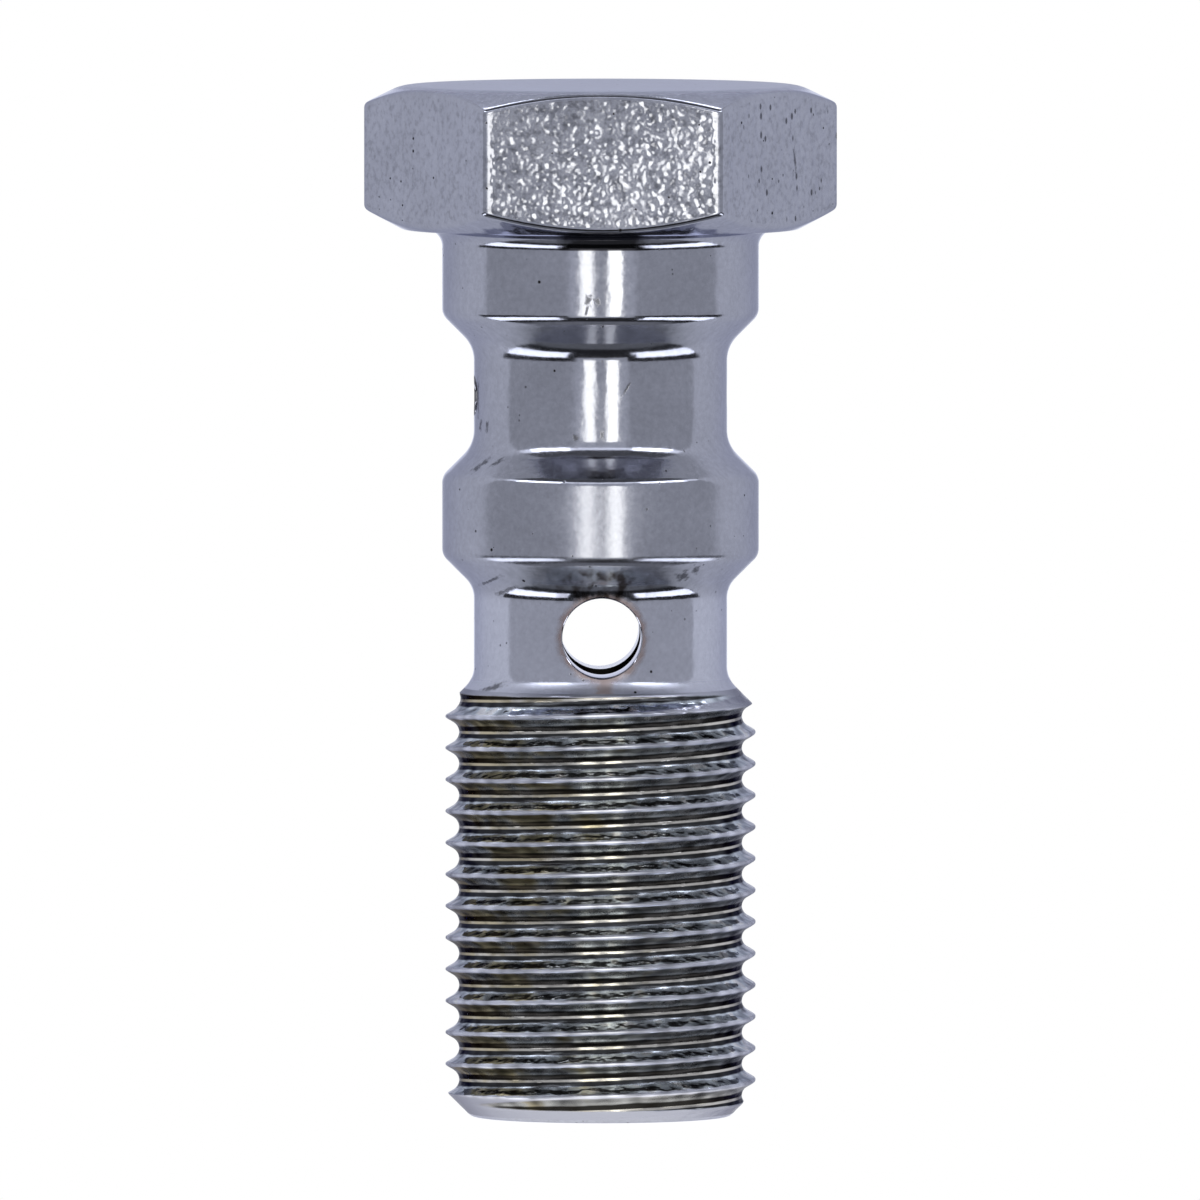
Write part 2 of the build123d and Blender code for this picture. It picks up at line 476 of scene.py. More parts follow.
def pits_group():
    """Scattered pits: a random few of the cells hold one, each of its own size."""
    inputs = {"Per mm": 2.0, "Share": 0.15, "Size": 0.14, "Stretch": (1.0, 1.0, 1.0)}
    tree, size, out = shader_group("pits", inputs, ["Mask"])
    spot = result_of(
        tree, "ShaderNodeVectorMath", {0: place_mm(tree), 1: size["Stretch"]}, operation="MULTIPLY"
    )
    cells = add_node(tree, "ShaderNodeTexVoronoi", {"Vector": spot, "Scale": size["Per mm"]}).outputs
    chance = add_node(tree, "ShaderNodeSeparateColor", {0: cells["Color"]}).outputs
    chosen = calc(tree, "LESS_THAN", chance[0], size["Share"])
    reach = times(tree, size["Size"], calc(tree, "MULTIPLY_ADD", chance[1], 0.8, 0.3))
    pit = ramp(tree, cells["Distance"], times(tree, reach, 0.5), reach, 1.0, 0.0)
    tree.links.new(times(tree, chosen, pit), out.inputs["Mask"])
    return tree


def nick_group():
    """One nick on the side that faces -Y: a short frayed line at a place and a lean."""
    inputs = {"Place": (0.0, 0.0, 0.0), "Lean": (0.0, 0.0, 0.0), "Long": 0.2, "Wide": 0.03}
    tree, size, out = shader_group("nick", inputs, ["Mask"])
    moved = result_of(
        tree, "ShaderNodeVectorMath", {0: place_mm(tree), 1: size["Place"]}, operation="SUBTRACT"
    )
    leant = result_of(
        tree, "ShaderNodeVectorRotate", {0: moved, 4: size["Lean"]}, rotation_type="EULER_XYZ"
    )
    axes = add_node(tree, "ShaderNodeSeparateXYZ", {0: leant}).outputs
    across = calc(tree, "DIVIDE", calc(tree, "ABSOLUTE", axes["X"]), size["Wide"])
    along = calc(tree, "DIVIDE", calc(tree, "ABSOLUTE", axes["Z"]), size["Long"])
    frayed = times(tree, noise(tree, place_mm(tree), 7.0, 3.0), 2.6)
    reach = plus(tree, calc(tree, "MAXIMUM", across, along), frayed)
    front = ramp(tree, axes_mm(tree)["Y"], -0.4, -0.2, 1.0, 0.0)
    tree.links.new(times(tree, front, ramp(tree, reach, 0.3, 1.5, 0.65, 0.0)), out.inputs["Mask"])
    return tree


def stain_group():
    """Tarnish round the lower cross hole's mouths, where the zinc was thin, and a run below the front one."""
    inputs = {"Hole Radius": LOWER_HOLE_RADIUS, "Height": LOWER_HOLE_HEIGHT}
    tree, size, out = shader_group("hole_stain", inputs, ["Mask", "Run"])
    axes = axes_mm(tree)
    up = minus(tree, axes["Z"], size["Height"])
    square = calc(tree, "MULTIPLY_ADD", axes["X"], axes["X"], times(tree, up, up))
    reach = minus(tree, calc(tree, "SQRT", square), size["Hole Radius"])
    ragged = calc(tree, "MULTIPLY_ADD", noise(tree, place_mm(tree), 4.0, 3.0), 0.3, reach)
    tree.links.new(ramp(tree, ragged, *TARNISH_FADE, 1.0, 0.0), out.inputs["Mask"])
    side = calc(tree, "ABSOLUTE", minus(tree, axes["X"], RUN_MIDDLE))
    spot = times(tree, ramp(tree, side, *RUN_FADE, 1.0, 0.0), band(tree, up, *RUN_HEIGHTS, 0.3))
    broken = ramp(tree, noise(tree, place_mm(tree), 3.0, 3.0), -0.3, 0.1)
    front = calc(tree, "LESS_THAN", axes["Y"], 0.0)
    tree.links.new(times(tree, front, times(tree, spot, broken)), out.inputs["Run"])
    return tree


grain, pits, nick, stain = grain_group(), pits_group(), nick_group(), stain_group()


def group_node(tree, group, inputs=()):
    """Adds a group with its inputs set, and returns its outputs."""
    return add_node(tree, "ShaderNodeGroup", inputs, node_tree=group).outputs


def nick_mask(tree, across, up, lean, half_long, half_wide):
    """The mask of one nick, leaning to the right by the given degrees."""
    inputs = {"Place": (across, 0, up), "Lean": (0, radians(-lean), 0), "Long": half_long, "Wide": half_wide}
    return group_node(tree, nick, inputs)["Mask"]


def steel_material(name, edge_tint=EDGE_TINT):
    """A new material with a metal shader: its node tree and the shader."""
    material = bpy.data.materials.new(name)
    material.use_nodes = True
    tree = material.node_tree
    shader = tree.nodes["Principled BSDF"]
    shader.inputs["Metallic"].default_value = 1
    shader.inputs["Specular Tint"].default_value = edge_tint
    return material, tree, shader


def add_bump(tree, shader, height):
    """Relief by shading, from a height in millimetres."""
    normal = result_of(tree, "ShaderNodeBump", {"Strength": 1.0, "Distance": MM, "Height": height})
    tree.links.new(normal, shader.inputs["Normal"])


def turned_finish():
    """Plating over turned steel: specks, nicks, dull places, tarnish round the lower hole, and painted shade
    under the head and on the down-facing flanks.
    """
    material, tree, shader = steel_material("plated_turned")
    marks = group_node(tree, grain)
    tarnish = group_node(tree, stain)
    axes = axes_mm(tree)
    height = axes["Z"]
    specks = group_node(tree, pits)["Mask"]
    dots = group_node(tree, pits, {"Per mm": 5.0, "Share": 0.06, "Size": 0.25})["Mask"]
    nicks = [nick_mask(tree, *sizes) for sizes in NICKS]
    worn = chained(tree, "MAXIMUM", [specks, times(tree, dots, 0.6)] + nicks)

    # The lower groove is a little lighter
    lower_groove = band(tree, height, LOWER_GROOVE_END - 0.7, LOWER_GROOVE_TOP - 0.2, 0.5)
    colour = toned(tree, STEEL, calc(tree, "MULTIPLY_ADD", lower_groove, 0.3, marks["Tone"]))
    colour = mixed(tree, times(tree, tarnish["Mask"], 0.75), colour, TARNISH)
    colour = mixed(tree, times(tree, tarnish["Run"], 0.8), colour, TARNISH_RUN)
    # Painted shade: black in the corner under the head, strongest in the middle
    sideways = calc(tree, "ABSOLUTE", axes["X"])
    sideways = calc(tree, "MULTIPLY_ADD", noise(tree, place_mm(tree), 3.0), 0.8, sideways)
    under_head_shade = ramp(tree, sideways, *UNDER_HEAD_SHADE_FADE, 1.0, 0.0)
    under_head_shade = [band(tree, height, *UNDER_HEAD_SHADE_HEIGHTS, 0.06), under_head_shade, 0.9]
    colour = mixed(tree, chained(tree, "MULTIPLY", under_head_shade), colour, BARE_AND_SHADE)
    # Painted shade: the flanks that face down are darkened, most in the middle
    upper_flank = band(tree, height, UPPER_GROOVE_TOP, UPPER_COLLAR_END - 0.2, 0.3)
    lower_flank = band(tree, height, LOWER_GROOVE_TOP + 0.05, MIDDLE_COLLAR_END - 0.2, 0.3)
    thin = calc(tree, "MAXIMUM", upper_flank, lower_flank)
    thin = times(tree, thin, ramp(tree, sideways, *DOWN_FLANK_SHADE_FADE, 0.35, 0.0))
    colour = mixed(tree, thin, colour, DOWN_FLANK_SHADE)
    # The lower one is darkened brown on its front, most towards the middle, over the front mouth of the hole
    front_brown = [
        band(tree, height, LOWER_GROOVE_TOP - 0.3, MIDDLE_COLLAR_END - 0.3, 0.3),
        ramp(tree, sideways, *DARK_BROWN_FADE, 0.9, 0.0),
        ramp(tree, noise(tree, place_mm(tree, (1, 1, 0.4)), 2.6, 3.0), -0.12, 0.12),
        calc(tree, "LESS_THAN", axes["Y"], 0.0),
    ]
    colour = mixed(tree, chained(tree, "MULTIPLY", front_brown), colour, DARK_BROWN)
    tree.links.new(mixed(tree, worn, colour, BARE_AND_SHADE), shader.inputs["Base Color"])

    roughness = plus(tree, marks["Gloss"], TURNED_ROUGHNESS)
    for low, high, added in DULLER:
        roughness = calc(tree, "MULTIPLY_ADD", band(tree, height, low, high, 0.2), added, roughness)
    dull = calc(tree, "MAXIMUM", worn, tarnish["Mask"])
    tree.links.new(calc(tree, "MULTIPLY_ADD", dull, 0.3, roughness), shader.inputs["Roughness"])
    add_bump(tree, shader, calc(tree, "MULTIPLY_ADD", worn, -NICK_DEPTH, marks["Height"]))
    return material


def flats_finish():
    """The drawn skin of the bar: an orange peel that scatters the lamps into sparkles on the front flat."""
    material, tree, shader = steel_material("plated_flats")
    marks = group_node(tree, grain)
    axes = axes_mm(tree)
    aside = calc(tree, "ABSOLUTE", axes["X"])
    front = calc(tree, "LESS_THAN", aside, FRONT_FLAT_END)
    front = times(tree, front, calc(tree, "LESS_THAN", axes["Y"], 0.0))
    specks = group_node(tree, pits, {"Per mm": 3.0, "Share": 0.2, "Size": 0.2})["Mask"]
    # The right side flats are pitted along the way the bar was drawn
    long_pits = {"Per mm": 3.5, "Share": 0.55, "Size": 0.32, "Stretch": (1.0, 1.0, 0.6)}
    drawn = group_node(tree, pits, long_pits)["Mask"]
    drawn = times(tree, drawn, ramp(tree, axes["X"], FRONT_FLAT_END - 0.1, 5.2, 0.0, 0.75))
    scratch = nick_mask(tree, *SCRATCH)
    worn = chained(tree, "MAXIMUM", [specks, drawn, scratch])

    hollows = calc(tree, "MULTIPLY_ADD", front, 0.7, 0.7)
    hollows = times(tree, noise(tree, place_mm(tree), 5.0), hollows)
    tone = plus(tree, marks["Tone"], calc(tree, "MINIMUM", hollows, 0.0))
    colour = toned(tree, STEEL, calc(tree, "MULTIPLY_ADD", front, -0.08, tone))
    tree.links.new(mixed(tree, worn, colour, BARE_AND_SHADE), shader.inputs["Base Color"])
    roughness = plus(tree, marks["Gloss"], FLATS_ROUGHNESS)
    tree.links.new(calc(tree, "MULTIPLY_ADD", worn, 0.3, roughness), shader.inputs["Roughness"])

    # The peel is strongest towards one lower corner of the front flat, and stops at the bar's corners
    drift = calc(tree, "MULTIPLY_ADD", axes["X"], 0.12, times(tree, axes["Z"], -0.22))
    drift = calc(tree, "MULTIPLY_ADD", noise(tree, place_mm(tree), 0.7), 1.2, drift)
    corners = band(tree, aside, FRONT_FLAT_END - 0.2, FRONT_FLAT_END + 0.2, 0.15)
    strength = calc(tree, "MULTIPLY_ADD", corners, -0.85, ramp(tree, drift, -1.2, -0.3, 0.6, 1.05))
    peel = noise(tree, place_mm(tree, (0.8, 0.8, 1.2)), 3.8, 0.7)
    relief = chained(tree, "MULTIPLY", [peel, PEEL_RELIEF, strength])
    add_bump(tree, shader, calc(tree, "MULTIPLY_ADD", worn, -PIT_DEPTH, relief))
    return material


finishes = [turned_finish(), flats_finish()]


# ---- The thread ------------------------------------------------------------------------------
# M10 x 1, right hand, cut on the turned end: a 60 degree form that follows a helix, with narrow
# crests and a rounded root. It runs out into the groove's flank above and the tip's chamfer below.
# The cutter tore its flanks. Their colours paint light and shade, and a reflection in the root.
THREAD_PITCH = 1.0
THREAD_DEPTH = 0.45
CREST_FLAT = 0.06
CREST_ROUNDING = 0.12
CREST_HEIGHT = -20.9
FLANK_LEAN = radians(30)
FLANK_SLOPE = 1 / tan(FLANK_LEAN)
WAVINESS = 0.012
RUN_OUT_DIP = 0.2
RUN_OUT_BLEND = 0.02
WAVES_AROUND = 9.0
WAVES_UP = 3.0
ROWS_PER_TURN = 24
ROW_CROWDING = 0.45
GRID_WELD = 0.0002
SEAM_WELD = 0.0004
SLIVER = 0.00005

THREAD_EDGE_TINT = (0.35, 0.35, 0.4, 1)
# The crest's colour is lightened as a painted highlight
CREST_HIGHLIGHT = (0.74, 0.75, 0.82, 1)
CREST_AT_ENDS = (0.5, 0.51, 0.58, 1)
# The upper flank is lightened as painted light, and the under flank darkened as painted shade
LIT_UPPER_FLANK = (0.76, 0.82, 0.88, 1)
SHADED_UNDER_FLANK = (0.36, 0.36, 0.35, 1)
OILED_SHADED_UNDER_FLANK = (0.32, 0.27, 0.16, 1)
# Black painted shade either side of the root
ROOT_SIDE_SHADE = (0.01, 0.008, 0.006, 1)
# The root's pale cream line is lightened as a painted reflection
ROOT_REFLECTION = (0.82, 0.78, 0.7, 1)
OILED_ROOT_REFLECTION = (0.66, 0.58, 0.4, 1)

# Where one look gives way to the next, in turns from the middle of the crest
CREST_TO_FLANK = (0.05, 0.1)
BLISTERED = (0.06, 0.24)
FLANK_TO_ROOT_SIDE_SHADE = (0.265, 0.32)
ROOT_SIDE_SHADE_TO_ROOT = (0.445, 0.475)
THREAD_ROUGHNESS = 0.32
STREAK_RELIEF = 0.01
BLISTER_RELIEF = 0.03

THREAD_SIZES = {
    "Pitch": THREAD_PITCH,
    "Major Radius": THREAD_RADIUS,
    "Depth": THREAD_DEPTH,
    "Crest Flat": CREST_FLAT,
    "Crest Height": CREST_HEIGHT,
    "Top": THREAD_START,
    "Shoulder": THREAD_TOP,
    "Chamfer": TIP + TIP_CHAMFER,
    "Bottom": THREAD_END,
    "Waviness": WAVINESS,
    "Columns": COLUMNS,
    "Rows per Turn": ROWS_PER_TURN,
}


def combined(tree, *axes):
    """The vector of an X, a Y and a Z."""
    return result_of(tree, "ShaderNodeCombineXYZ", dict(enumerate(axes)))


def thread_tree():
    """A tube of columns whose rows follow the helix, pressed into the turned end's outline."""
    tree = bpy.data.node_groups.new("cut_thread", "GeometryNodeTree")
    for name, value in THREAD_SIZES.items():
        kind = "NodeSocketInt" if isinstance(value, int) else "NodeSocketFloat"
        tree.interface.new_socket(name=name, in_out="INPUT", socket_type=kind).default_value = value
    tree.interface.new_socket(name="Material", in_out="INPUT", socket_type="NodeSocketMaterial")
    tree.interface.new_socket(name="Geometry", in_out="OUTPUT", socket_type="NodeSocketGeometry")
    size = add_node(tree, "NodeGroupInput").outputs

    # The grid is one turn wide, and long enough to pass both ends at either side of it
    low_turn = calc(tree, "DIVIDE", minus(tree, size["Bottom"], size["Crest Height"]), size["Pitch"])
    low_turn = minus(tree, calc(tree, "FLOOR", low_turn), 1.0)
    high_turn = calc(tree, "DIVIDE", minus(tree, size["Top"], size["Crest Height"]), size["Pitch"])
    high_turn = calc(tree, "CEIL", high_turn)
    turns = minus(tree, high_turn, low_turn)
    rows = plus(tree, times(tree, turns, size["Rows per Turn"]), 1.0)
    columns = plus(tree, size["Columns"], 1.0)
    counts = {"Size X": 1.0, "Size Y": 1.0, "Vertices X": columns, "Vertices Y": rows}
    grid = result_of(tree, "GeometryNodeMeshGrid", counts)
    position = result_of(tree, "GeometryNodeInputPosition")
    place = add_node(tree, "ShaderNodeSeparateXYZ", {0: position}).outputs
    share = plus(tree, place["X"], 0.5)
    turn = plus(tree, low_turn, times(tree, plus(tree, place["Y"], 0.5), turns))
    # Rows crowd towards crest and root, where the form bends
    crowd = calc(tree, "SINE", times(tree, turn, 4 * pi))
    turn = minus(tree, turn, times(tree, crowd, ROW_CROWDING / (4 * pi)))
    climb = plus(tree, size["Crest Height"], times(tree, plus(tree, share, turn), size["Pitch"]))
    height = result_of(tree, "ShaderNodeClamp", {"Value": climb, "Min": size["Bottom"], "Max": size["Top"]})

    # Depth of the form at a distance from the crest: crest, flank at 60 degrees, round root
    from_crest = calc(tree, "ABSOLUTE", minus(tree, turn, calc(tree, "ROUND", turn)))
    from_crest = times(tree, from_crest, size["Pitch"])
    past_flat = minus(tree, from_crest, times(tree, size["Crest Flat"], 0.5))
    flank = times(tree, past_flat, FLANK_SLOPE)
    sharp_depth = times(tree, minus(tree, size["Pitch"], size["Crest Flat"]), FLANK_SLOPE / 2)
    # Between flanks at 60 degrees, the root's radius is what the form lacks of a sharp one's depth
    root_radius = minus(tree, sharp_depth, size["Depth"])
    from_root = minus(tree, times(tree, size["Pitch"], 0.5), from_crest)
    inside = minus(tree, times(tree, root_radius, root_radius), times(tree, from_root, from_root))
    arc = calc(tree, "SQRT", calc(tree, "MAXIMUM", inside, 0.0))
    root = plus(tree, minus(tree, size["Depth"], root_radius), arc)
    in_root = calc(tree, "LESS_THAN", from_root, times(tree, root_radius, cos(FLANK_LEAN)))
    form = result_of(tree, "ShaderNodeMix", {0: in_root, 2: flank, 3: root})
    # A smooth maximum rounds the crest, and deepens it by a sixth of its reach, which is given back
    form = calc(tree, "SMOOTH_MAX", form, 0.0, CREST_ROUNDING)
    form = minus(tree, form, CREST_ROUNDING / 6)

    # The cutter leaves the form slightly uneven along its way
    angle = times(tree, share, 2 * pi)
    east, north = calc(tree, "COSINE", angle), calc(tree, "SINE", angle)
    around = [times(tree, side, WAVES_AROUND) for side in (east, north)]
    waves = combined(tree, *around, times(tree, height, WAVES_UP))
    uneven = times(tree, noise(tree, waves, 1.0), size["Waviness"])
    cut = plus(tree, minus(tree, size["Major Radius"], form), uneven)

    # At the run-out the cutter dips after the flank, which keeps the last turn in sight
    above = calc(tree, "MAXIMUM", minus(tree, height, size["Shoulder"]), 0.0)
    cut = calc(tree, "MULTIPLY_ADD", above, -RUN_OUT_DIP, cut)
    below = calc(tree, "MAXIMUM", minus(tree, size["Chamfer"], height), 0.0)
    turned = minus(tree, size["Major Radius"], plus(tree, above, below))
    radius = calc(tree, "SMOOTH_MIN", turned, cut, RUN_OUT_BLEND)
    spot = combined(tree, *[times(tree, radius, side) for side in (east, north)], height)
    bent = result_of(tree, "GeometryNodeSetPosition", {"Geometry": grid, "Position": spot})
    closed = result_of(tree, "GeometryNodeMergeByDistance", {"Geometry": bent, "Distance": GRID_WELD})
    real = result_of(tree, "GeometryNodeRealizeInstances", {"Geometry": closed})
    coated = result_of(tree, "GeometryNodeSetMaterial", {"Geometry": real, "Material": size["Material"]})
    add_node(tree, "NodeGroupOutput", {0: coated})
    return tree


def from_axis(tree, axes):
    """Distance from the bolt's axis."""
    square = calc(tree, "MULTIPLY_ADD", axes["X"], axes["X"], times(tree, axes["Y"], axes["Y"]))
    return calc(tree, "SQRT", square)


def thread_finish():
    """The cut thread: torn flanks, painted highlights on crests and upper flanks, painted shade on under
    flanks and beside the root, and a painted reflection in the root.
    """
    material, tree, shader = steel_material("plated_thread", THREAD_EDGE_TINT)
    marks = group_node(tree, grain, {"Ripple": 0.003, "Mottling": 0.5})
    axes = axes_mm(tree)
    streaks = noise(tree, place_mm(tree, (0.25, 0.25, 1)), 5.0)
    torn = noise(tree, place_mm(tree, (0.7, 0.7, 1)), 3.0, 0.3)

    # How far up the form from the crest, in turns: 0 on the crest, half a turn in the root
    turn = calc(tree, "DIVIDE", minus(tree, axes["Z"], CREST_HEIGHT), THREAD_PITCH)
    around = calc(tree, "DIVIDE", calc(tree, "ARCTAN2", axes["Y"], axes["X"]), 2 * pi)
    turn = plus(tree, minus(tree, turn, around), 0.5)
    from_crest = minus(tree, calc(tree, "FRACT", turn), 0.5)
    over = calc(tree, "GREATER_THAN", from_crest, 0.0)
    from_crest = calc(tree, "ABSOLUTE", from_crest)
    away = calc(tree, "MULTIPLY_ADD", streaks, 0.08, from_crest)
    # How deep the cutter went under the turned outline
    above = calc(tree, "MAXIMUM", minus(tree, axes["Z"], THREAD_TOP), 0.0)
    below = calc(tree, "MAXIMUM", minus(tree, TIP + TIP_CHAMFER, axes["Z"]), 0.0)
    past_ends = plus(tree, above, below)
    depth = minus(tree, THREAD_RADIUS, plus(tree, from_axis(tree, axes), past_ends))
    cut = ramp(tree, depth, 0.01, 0.05)
    full = ramp(tree, past_ends, 0.0, 0.12, 1.0, 0.0)
    flank = times(tree, ramp(tree, away, *CREST_TO_FLANK), cut)
    beside_root = ramp(tree, calc(tree, "MULTIPLY_ADD", over, -0.02, away), *FLANK_TO_ROOT_SIDE_SHADE)
    root_side_shade = times(tree, beside_root, cut)
    root = times(tree, ramp(tree, from_crest, *ROOT_SIDE_SHADE_TO_ROOT), cut)
    beside_crest = times(tree, over, band(tree, away, *BLISTERED, 0.06))

    # Cutting oil has browned the left side
    oiled = calc(tree, "MULTIPLY_ADD", axes["X"], -0.3, -0.3)
    oiled = calc(tree, "MULTIPLY_ADD", noise(tree, place_mm(tree), 0.6, 3.0), 6.0, oiled)
    oiled = ramp(tree, oiled, 0.0, 1.0)
    # Painted light on the upper flanks, painted shade on the under flanks
    flank_colour = mixed(tree, over, mixed(tree, oiled, SHADED_UNDER_FLANK, OILED_SHADED_UNDER_FLANK), LIT_UPPER_FLANK)
    # A painted highlight on the crest, dimmer where the thread runs out
    crest_colour = mixed(tree, full, CREST_AT_ENDS, CREST_HIGHLIGHT)
    patchy = calc(tree, "MULTIPLY_ADD", flank, 0.8, 1.2)
    patchy = times(tree, patchy, calc(tree, "MAXIMUM", full, cut))
    patchy = calc(tree, "MAXIMUM", calc(tree, "MULTIPLY_ADD", torn, patchy, 0.97), 0.1)
    colour = toned(tree, mixed(tree, flank, crest_colour, flank_colour), patchy)
    # Black painted shade either side of the root
    colour = mixed(tree, times(tree, root_side_shade, 0.95), colour, ROOT_SIDE_SHADE)
    # A painted reflection in the root, streaked along its way
    painted_root_reflection = times(tree, root, ramp(tree, streaks, -0.25, 0.05, 0.45, 1.0))
    colour = mixed(tree, painted_root_reflection, colour, mixed(tree, oiled, ROOT_REFLECTION, OILED_ROOT_REFLECTION))
    tree.links.new(colour, shader.inputs["Base Color"])

    smoother = times(tree, flank, calc(tree, "MULTIPLY_ADD", over, -0.04, -0.04))
    smoother = calc(tree, "MULTIPLY_ADD", beside_crest, -0.14, smoother)
    roughness = plus(tree, marks["Gloss"], plus(tree, smoother, THREAD_ROUGHNESS))
    roughness = calc(tree, "MULTIPLY_ADD", root, -0.06, roughness)
    tree.links.new(calc(tree, "MAXIMUM", roughness, 0.06), shader.inputs["Roughness"])

    # The flanks are torn, and the upper one is blistered beside the crest
    tearing = calc(tree, "MULTIPLY_ADD", over, 0.01, 0.02)
    tearing = calc(tree, "MULTIPLY_ADD", minus(tree, flank, root), tearing, 0.01)
    tearing = times(tree, torn, times(tree, tearing, cut))
    blisters = noise(tree, place_mm(tree, (0.8, 0.8, 1)), 4.0, 0.8)
    blisters = times(tree, blisters, beside_crest)
    relief = calc(tree, "MULTIPLY_ADD", streaks, STREAK_RELIEF, marks["Height"])
    relief = calc(tree, "MULTIPLY_ADD", blisters, BLISTER_RELIEF, relief)
    add_bump(tree, shader, plus(tree, tearing, relief))
    return material


def add_object(name, data):
    """A new object in the scene that shows a mesh, a lamp or a camera."""
    piece = bpy.data.objects.new(name, data)
    bpy.context.scene.collection.objects.link(piece)
    return piece


def finished_mesh(piece):
    """The piece's mesh as its modifiers leave it."""
    bpy.context.view_layer.update()
    return bpy.data.meshes.new_from_object(piece.evaluated_get(bpy.context.evaluated_depsgraph_get()))


finishes.append(thread_finish())
thread = add_object("thread", bpy.data.meshes.new("thread"))
cutting = thread.modifiers.new("cut_thread", "NODES")
cutting.node_group = thread_tree()
thread_inputs = dict(THREAD_SIZES, Material=finishes[THREAD])
for socket in cutting.node_group.interface.items_tree:
    if socket.in_out == "INPUT":
        cutting[socket.identifier] = thread_inputs[socket.name]
thread_mesh = finished_mesh(thread)
bpy.data.objects.remove(thread)
first_thread_face = len(blank.faces)
blank.from_mesh(thread_mesh)
blank.faces.ensure_lookup_table()
for face in blank.faces[first_thread_face:]:
    face.material_index = THREAD
bmesh.ops.remove_doubles(blank, verts=blank.verts, dist=SEAM_WELD)
bmesh.ops.dissolve_degenerate(blank, edges=blank.edges, dist=SLIVER)
bmesh.ops.recalc_face_normals(blank, faces=blank.faces)


# ---- The cross holes -------------------------------------------------------------------------
# Each groove is drilled right across, through the bore, so that the fluid reaches its banjo eye.
# The mouths are brushed, which leaves a small rounding round each rim. The bore's and the upper hole's walls
# are darkened as painted shade.
UPPER_HOLE_RADIUS = 0.6
UPPER_HOLE_HEIGHT = -5.25
UPPER_HOLE_TURN = radians(-85.7)
RIM_ROUNDING = 0.07
RIM_BENDS = [radians(60), radians(40), radians(20), 0.0]
FLARE = 1.2
DRILL_REACH = 6.0
DRILL_SIDES = 72

HOLE_WALL = (0.62, 0.62, 0.66)
BORE_PAINTED_SHADE = (0.02, 0.018, 0.016, 1)
BORE_ROUGHNESS = 0.4


def drill(name, drill_radius, height, turn):
    """A drill's solid through the shank, turned from Y, with a flare at each mouth that rounds the rim."""
    # Radius and depth under the groove's surface of each ring of a mouth; the first is clear of the shank
    mouth = [(drill_radius + FLARE, None)]
    for bend in RIM_BENDS:
        mouth.append((drill_radius + RIM_ROUNDING * (1 - cos(bend)), RIM_ROUNDING * (1 - sin(bend))))
    stations = [(-1, station) for station in mouth] + [(1, station) for station in reversed(mouth)]
    tool = bmesh.new()
    rings = []
    for side, (radius, depth) in stations:
        ring = []
        for step in range(DRILL_SIDES):
            around = 2 * pi * step / DRILL_SIDES
            across, up = radius * cos(around), radius * sin(around)
            out = DRILL_REACH if depth is None else sqrt(GROOVE_RADIUS**2 - across**2) - depth
            ring.append(tool.verts.new((across, side * out, height + up)))
        rings.append(ring)
    for near, far in zip(rings, rings[1:]):
        for step in range(DRILL_SIDES):
            after = (step + 1) % DRILL_SIDES
            tool.faces.new((near[step], far[step], far[after], near[after]))
    tool.faces.new(rings[0])
    tool.faces.new(rings[-1])
    bmesh.ops.recalc_face_normals(tool, faces=tool.faces)
    for face in tool.faces:
        face.material_index = DRILLED
    mesh = bpy.data.meshes.new(name)
    tool.to_mesh(mesh)
    tool.free()
    mesh.transform(Matrix.Rotation(turn, 4, "Z"))
    return add_object(name, mesh)


def drilled_finish():
    """The drilled walls: the bore's, and in part the small upper hole's, are darkened as painted shade."""
    material, tree, shader = steel_material("plated_bore")
    marks = group_node(tree, grain, {"Lines": 0.003})
    axes = axes_mm(tree)
    # The bore's walls are near black as painted shade; the mask below is 0 there
    plated = ramp(tree, from_axis(tree, axes), BORE_RADIUS + 0.01, BORE_RADIUS + 0.15)
    # The small upper hole's walls are darkened as painted shade
    upper_hole_shade = times(tree, calc(tree, "GREATER_THAN", axes["Z"], MIDDLE_COLLAR_TOP - 0.2), 0.6)
    colour = mixed(tree, upper_hole_shade, toned(tree, HOLE_WALL, marks["Tone"]), BARE_AND_SHADE)
    tree.links.new(mixed(tree, plated, BORE_PAINTED_SHADE, colour), shader.inputs["Base Color"])
    roughness = plus(tree, marks["Gloss"], BORE_ROUGHNESS)
    roughness = calc(tree, "MULTIPLY_ADD", plated, -0.3, roughness)
    tree.links.new(calc(tree, "MAXIMUM", roughness, 0.05), shader.inputs["Roughness"])
    add_bump(tree, shader, marks["Height"])
    return material


finishes.append(drilled_finish())
body_mesh = bpy.data.meshes.new("banjo_bolt_body")
blank.to_mesh(body_mesh)
blank.free()
body = add_object("banjo_bolt_body", body_mesh)
drills = [
    drill("lower_drill", LOWER_HOLE_RADIUS, LOWER_HOLE_HEIGHT, 0.0),
    drill("upper_drill", UPPER_HOLE_RADIUS, UPPER_HOLE_HEIGHT, UPPER_HOLE_TURN),
]
for piece in [body] + drills:
    for finish in finishes:
        piece.data.materials.append(finish)
for tool in drills:
    drilling = body.modifiers.new(tool.name, "BOOLEAN")
    drilling.operation = "DIFFERENCE"
    drilling.solver = "MANIFOLD"
    drilling.object = tool
body.data = finished_mesh(body)
body.modifiers.clear()
for tool in drills:
    bpy.data.objects.remove(tool)

